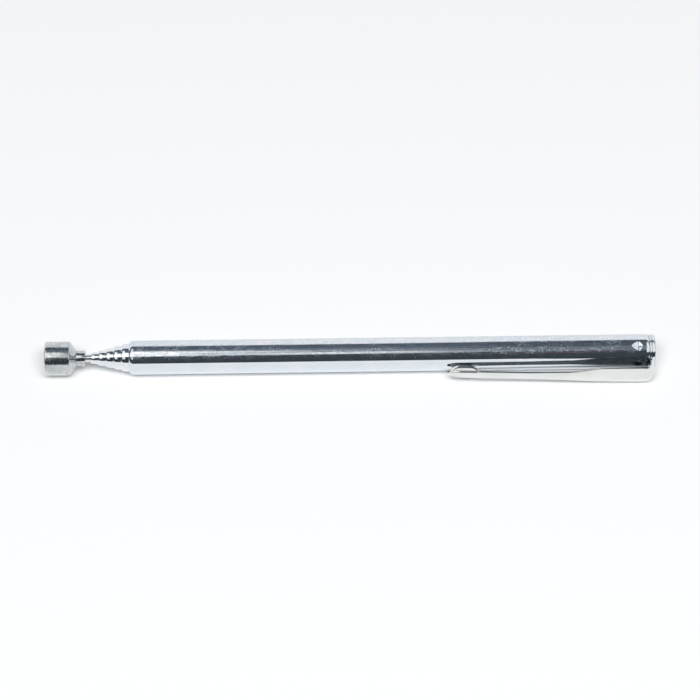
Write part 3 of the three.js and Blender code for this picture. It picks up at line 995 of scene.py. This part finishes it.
def clip_sections():
    """Sections from the ring up the tab, round the bend and along the arm to the tip."""
    ring_middle = bore_radius(0) + SHEET / 2
    sections = [strip_section(RING_REAR, ring_middle, 0, CLIP_TAB_HALF_WIDTH, crown=0)]
    root = BARREL_RADIUS + CLIP_TAB_ROOT
    bend_foot = CLIP_HEEL_HEIGHT - CLIP_BEND_RADIUS
    for i in range(CLIP_TAB_STEPS):
        t = i / CLIP_TAB_STEPS
        half = CLIP_TAB_HALF_WIDTH + (CLIP_HEEL_HALF_WIDTH - CLIP_TAB_HALF_WIDTH) * eased(t)
        height = root + (bend_foot - root) * t
        sections.append(strip_section(RING_REAR + CLIP_JOG * eased(t), height, 0, half, crown=eased(t)))
    for i in range(CLIP_BEND_STEPS):
        lean = math.pi / 2 * i / CLIP_BEND_STEPS
        x = CLIP_HINGE_X + CLIP_BEND_RADIUS * math.cos(lean)
        height = bend_foot + CLIP_BEND_RADIUS * math.sin(lean)
        sections.append(strip_section(x, height, lean, CLIP_HEEL_HALF_WIDTH))
    foot_start = CLIP_LENGTH - CLIP_FOOT_FROM_TIP - CLIP_FOOT_HALF_LENGTH
    sections += [arm_section(foot_start * i / CLIP_ARM_STEPS) for i in range(CLIP_ARM_STEPS)]
    for i in range(CLIP_FOOT_STEPS + 1):
        reach = math.sin(math.pi / 2 * i / CLIP_FOOT_STEPS)
        sections.append(arm_section(foot_start + (CLIP_LENGTH - foot_start) * reach))
    return sections


def swept_strip(sections):
    """A closed solid over the sections, which all have the same number of points."""
    work = bmesh.new()
    rings = [[work.verts.new(point) for point in section] for section in sections]
    around = len(rings[0])
    for ring, following in zip(rings, rings[1:]):
        for i in range(around):
            j = (i + 1) % around
            work.faces.new((ring[i], ring[j], following[j], following[i]))
    for end in (rings[0], rings[-1]):
        work.faces.new(end)
    bmesh.ops.recalc_face_normals(work, faces=work.faces)
    mesh = bpy.data.meshes.new("clip_strip")
    work.to_mesh(mesh)
    work.free()
    return new_object("clip_strip", mesh)


def joined_solid(name, base, other):
    """One mesh object from two closed ones."""
    modifier = base.modifiers.new("join", "BOOLEAN")
    modifier.operation = "UNION"
    modifier.solver = "EXACT"
    modifier.object = other
    piece = plain_copy(name, base)
    bpy.data.objects.remove(other)
    return piece


def mark_painted_shade(mesh):
    """Marks the faces of the turned strip that look forwards or at the barrel, beyond the ring, which the
    clip plate paints dark as painted shade.
    """
    outward = Vector((0, -math.cos(CLIP_TILT), -math.sin(CLIP_TILT)))
    marks = mesh.attributes.new("painted_shade", "FLOAT", "FACE")
    for face, mark in zip(mesh.polygons, marks.data):
        looks_in = face.normal.x < TAB_LOOKS_IN or face.normal.dot(outward) < ARM_LOOKS_IN
        mark.value = float(looks_in and face.center.dot(outward) > BARREL_RADIUS)


def make_clip():
    strip = swept_strip(clip_sections())
    ring_radius = BARREL_RADIUS - RING_EDGE
    ring = [
        (bore_radius(0), BARREL_END, RING_BORE_EDGE),
        (ring_radius, BARREL_END, RING_EDGE),
        (ring_radius - RING_SLOPE, RING_REAR, RING_EDGE),
        (bore_radius(0), RING_REAR, RING_BORE_EDGE),
    ]
    washer = turned_solid("clip_washer", rounded(ring, steps=5), CLIP_PLATE)
    piece = joined_solid("pocket_clip", washer, strip)
    piece.data.transform(Matrix.Rotation(CLIP_TILT, 4, "X"))
    tidy_faces(piece.data, crease=CLIP_CREASE)
    piece.data.materials.clear()
    piece.data.materials.append(CLIP_PLATE)
    mark_painted_shade(piece.data)
    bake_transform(piece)
    finish_piece(piece, None, ["clip_ring", "clip_arm"])


def refinish(node, material):
    """Gives a finish to a CAD piece that keeps its own shape."""
    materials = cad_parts[node].data.materials
    materials.clear()
    materials.append(material)


make_barrel()
make_tubes()
make_rod()
make_head()
make_end_plug()
make_clip()
for stage in range(1, STAGES + 1):
    refinish(f"stop_bush_{stage}", TURNED_BRASS)
    refinish(f"friction_sleeve_{stage}", SPRING_BRONZE)

# The table, the room, the lamp and the camera


def make_stage():
    bpy.ops.mesh.primitive_plane_add(size=TABLE_SIZE, location=(VIEW_CENTRE_X, 0, FLOOR_Z))
    table = bpy.context.object
    table.name = "table"
    material = bpy.data.materials.new("white_table")
    w, surface = start_tree(material, "ShaderNodeOutputMaterial")
    paper = w.node("ShaderNodeBsdfDiffuse", Color=TABLE_PAPER).outputs[0]
    glow = w.node("ShaderNodeEmission", Color=TABLE_GLOW).outputs[0]
    seen = w.node("ShaderNodeLightPath").outputs["Is Camera Ray"]
    w.put(surface, w.mix_shaders(w.product(seen, TABLE_GLOW_SHARE), paper, glow))
    table.data.materials.append(material)


def leans(stretch):
    """Leans of the reflections that the tool shows at the ends of a stretch."""
    return [(x - LEAN_NOUGHT_AT) / LEAN_REACH for x in stretch]


def unlit_room(w, angle, lean):
    """The dark part of the room: paler higher up, hazy over the front half and darkest by the clip."""
    room = w.mix(w.ramp(angle, *DUSK_RISES), NIGHT, DUSK)
    room = w.mix(w.ramp(lean, *leans(NIGHT_FALLS), 0.0, 0.4), room, NIGHT)
    hazy = w.product(w.band(angle, *HAZE_BAND), w.ramp(lean, *leans(HAZE_ENDS), 1.0, 0.1))
    room = w.mix(hazy, room, HAZE)
    plum = w.product(w.band(angle, *PLUM_BAND), w.band(lean, *leans(PLUM_STRETCH), 0.006))
    return w.mix(plum, room, PLUM)


def lamp_tube(w, angle, centre, half, soft, lit):
    """A lamp tube, as bright as lit says, in a band of angles that fades over soft."""
    distance = w.math("ABSOLUTE", w.math("SUBTRACT", angle, centre))
    return w.product(w.ramp(distance, half, w.math("ADD", half, soft), 1.0, 0.0), lit)


def lamp_tubes(w, angle, lean):
    """Two lamp tubes, the far one seen in the front of the tool and the near one in its middle."""
    far_half = w.ramp(lean, *leans(TUBE_MOUTHS), 9, 4)
    far_lit = w.product(
        w.ramp(lean, *leans(FAR_TUBE_DIMS), 1.0, 0.6),
        w.ramp(lean, *leans(FAR_TUBE_ENDS), 1.0, 0.15),
        w.ramp(lean, *leans(SMALLER_MOUTHS), 1.5, 1.0),
    )
    near_at_mouths = w.ramp(lean, *leans(TUBE_MOUTHS), 1.5, 0.3)
    near_on_barrel = w.ramp(lean, *leans(NEAR_TUBE_STARTS), 0.2, 1.0)
    near_lit = w.product(
        w.math("MAXIMUM", near_at_mouths, near_on_barrel),
        w.ramp(lean, *leans(NEAR_TUBE_ENDS), 1.0, 0.1),
    )
    far_tube = lamp_tube(w, angle, FAR_TUBE_ANGLE, half=far_half, soft=3.0, lit=far_lit)
    near_tube = lamp_tube(w, angle, NEAR_TUBE_ANGLE, half=5.0, soft=4.0, lit=near_lit)
    return w.math("MAXIMUM", far_tube, near_tube)


def mirrored_room(w):
    """The room's colour by the direction in which the metal mirrors it."""
    direction = w.node("ShaderNodeTexCoord").outputs["Generated"]
    parts = w.node("ShaderNodeSeparateXYZ", Vector=direction).outputs
    lean = parts["X"]
    front = w.product(parts["Y"], -1.0)
    angle = w.product(w.math("ARCTAN2", parts["Z"], front), 180 / math.pi)

    def soft_box(breadth, height):
        return w.product(w.band(lean, *breadth), w.band(angle, *height))

    lamps = w.math("MAXIMUM", lamp_tubes(w, angle, lean), soft_box(*LEFT_BOX))
    dark_room = w.mix(lamps, unlit_room(w, angle, lean), LAMP_WHITE, clamped=False)
    # It starts lower down beside the clip, and ends sooner over the barrel's middle
    dark_from = w.ramp(lean, *leans(BY_CLIP), DARK_FROM, DARK_FROM_BY_CLIP)
    sooner = w.product(w.band(lean, *leans(MIDDLE_OF_BARREL), 0.03), DARK_ENDS_SOONER)
    past_end = w.math("SUBTRACT", angle, w.math("SUBTRACT", DARK_TO, sooner))
    started = w.ramp(w.math("SUBTRACT", angle, dark_from), -2, 0)
    dark = w.product(started, w.ramp(past_end, -1.5, 1.5, 1.0, 0.0))
    room = w.mix(dark, LAMP_WHITE, dark_room)
    walls = w.product(w.ramp(w.math("ABSOLUTE", lean), *WALLS_FROM), w.ramp(parts["Z"], *WALLS_RISE))
    room = w.mix(walls, room, NIGHT)
    return w.mix(soft_box(*RIGHT_BOX), room, LAMP_WHITE)


def make_world():
    world = bpy.data.worlds.new("white_room")
    bpy.context.scene.world = world
    w, surface = start_tree(world, "ShaderNodeOutputWorld")
    seen = w.node("ShaderNodeLightPath").outputs
    mirrored = w.node("ShaderNodeBackground", Color=mirrored_room(w)).outputs[0]
    light = w.node("ShaderNodeBackground", Color=ROOM_WHITE, Strength=ROOM_LIGHT).outputs[0]
    backdrop = w.node("ShaderNodeBackground", Color=ROOM_WHITE).outputs[0]
    lit = w.mix_shaders(seen["Is Glossy Ray"], light, mirrored)
    w.put(surface, w.mix_shaders(seen["Is Camera Ray"], lit, backdrop))


def make_lamp():
    light = bpy.data.lights.new("soft_overhead", "AREA")
    light.shape = "RECTANGLE"
    light.size, light.size_y = LAMP_SIZE
    light.energy = LAMP_POWER
    lamp = bpy.data.objects.new("soft_overhead", light)
    middle = Vector((VIEW_CENTRE_X, 0, 0))
    lamp.location = middle + LAMP_DISTANCE * Vector((0, -math.cos(LAMP_ANGLE), math.sin(LAMP_ANGLE)))
    lamp.rotation_euler = (middle - lamp.location).to_track_quat("-Z", "Y").to_euler()
    lamp.visible_glossy = False
    bpy.context.scene.collection.objects.link(lamp)


def make_camera():
    towards = Vector((
        -math.sin(CAMERA_YAW) * math.cos(CAMERA_ELEVATION),
        -math.cos(CAMERA_YAW) * math.cos(CAMERA_ELEVATION),
        math.sin(CAMERA_ELEVATION),
    ))
    up = Vector((
        math.sin(CAMERA_YAW) * math.sin(CAMERA_ELEVATION),
        math.cos(CAMERA_YAW) * math.sin(CAMERA_ELEVATION),
        math.cos(CAMERA_ELEVATION),
    ))
    right = up.cross(towards)
    data = bpy.data.cameras.new("camera")
    data.sensor_width = SENSOR_WIDTH
    data.lens = SENSOR_WIDTH * CAMERA_DISTANCE / FRAME_WIDTH
    data.clip_start = CAMERA_NEAR
    camera = bpy.data.objects.new("camera", data)
    centre = Vector((VIEW_CENTRE_X, 0, 0)) + up * VIEW_CENTRE_RISE
    turn = Matrix((right, up, towards)).transposed().to_4x4()
    camera.matrix_world = Matrix.Translation(centre + towards * CAMERA_DISTANCE) @ turn
    bpy.context.scene.collection.objects.link(camera)
    bpy.context.scene.camera = camera


make_stage()
make_world()
make_lamp()
make_camera()

bpy.context.scene.view_settings.view_transform = "Standard"
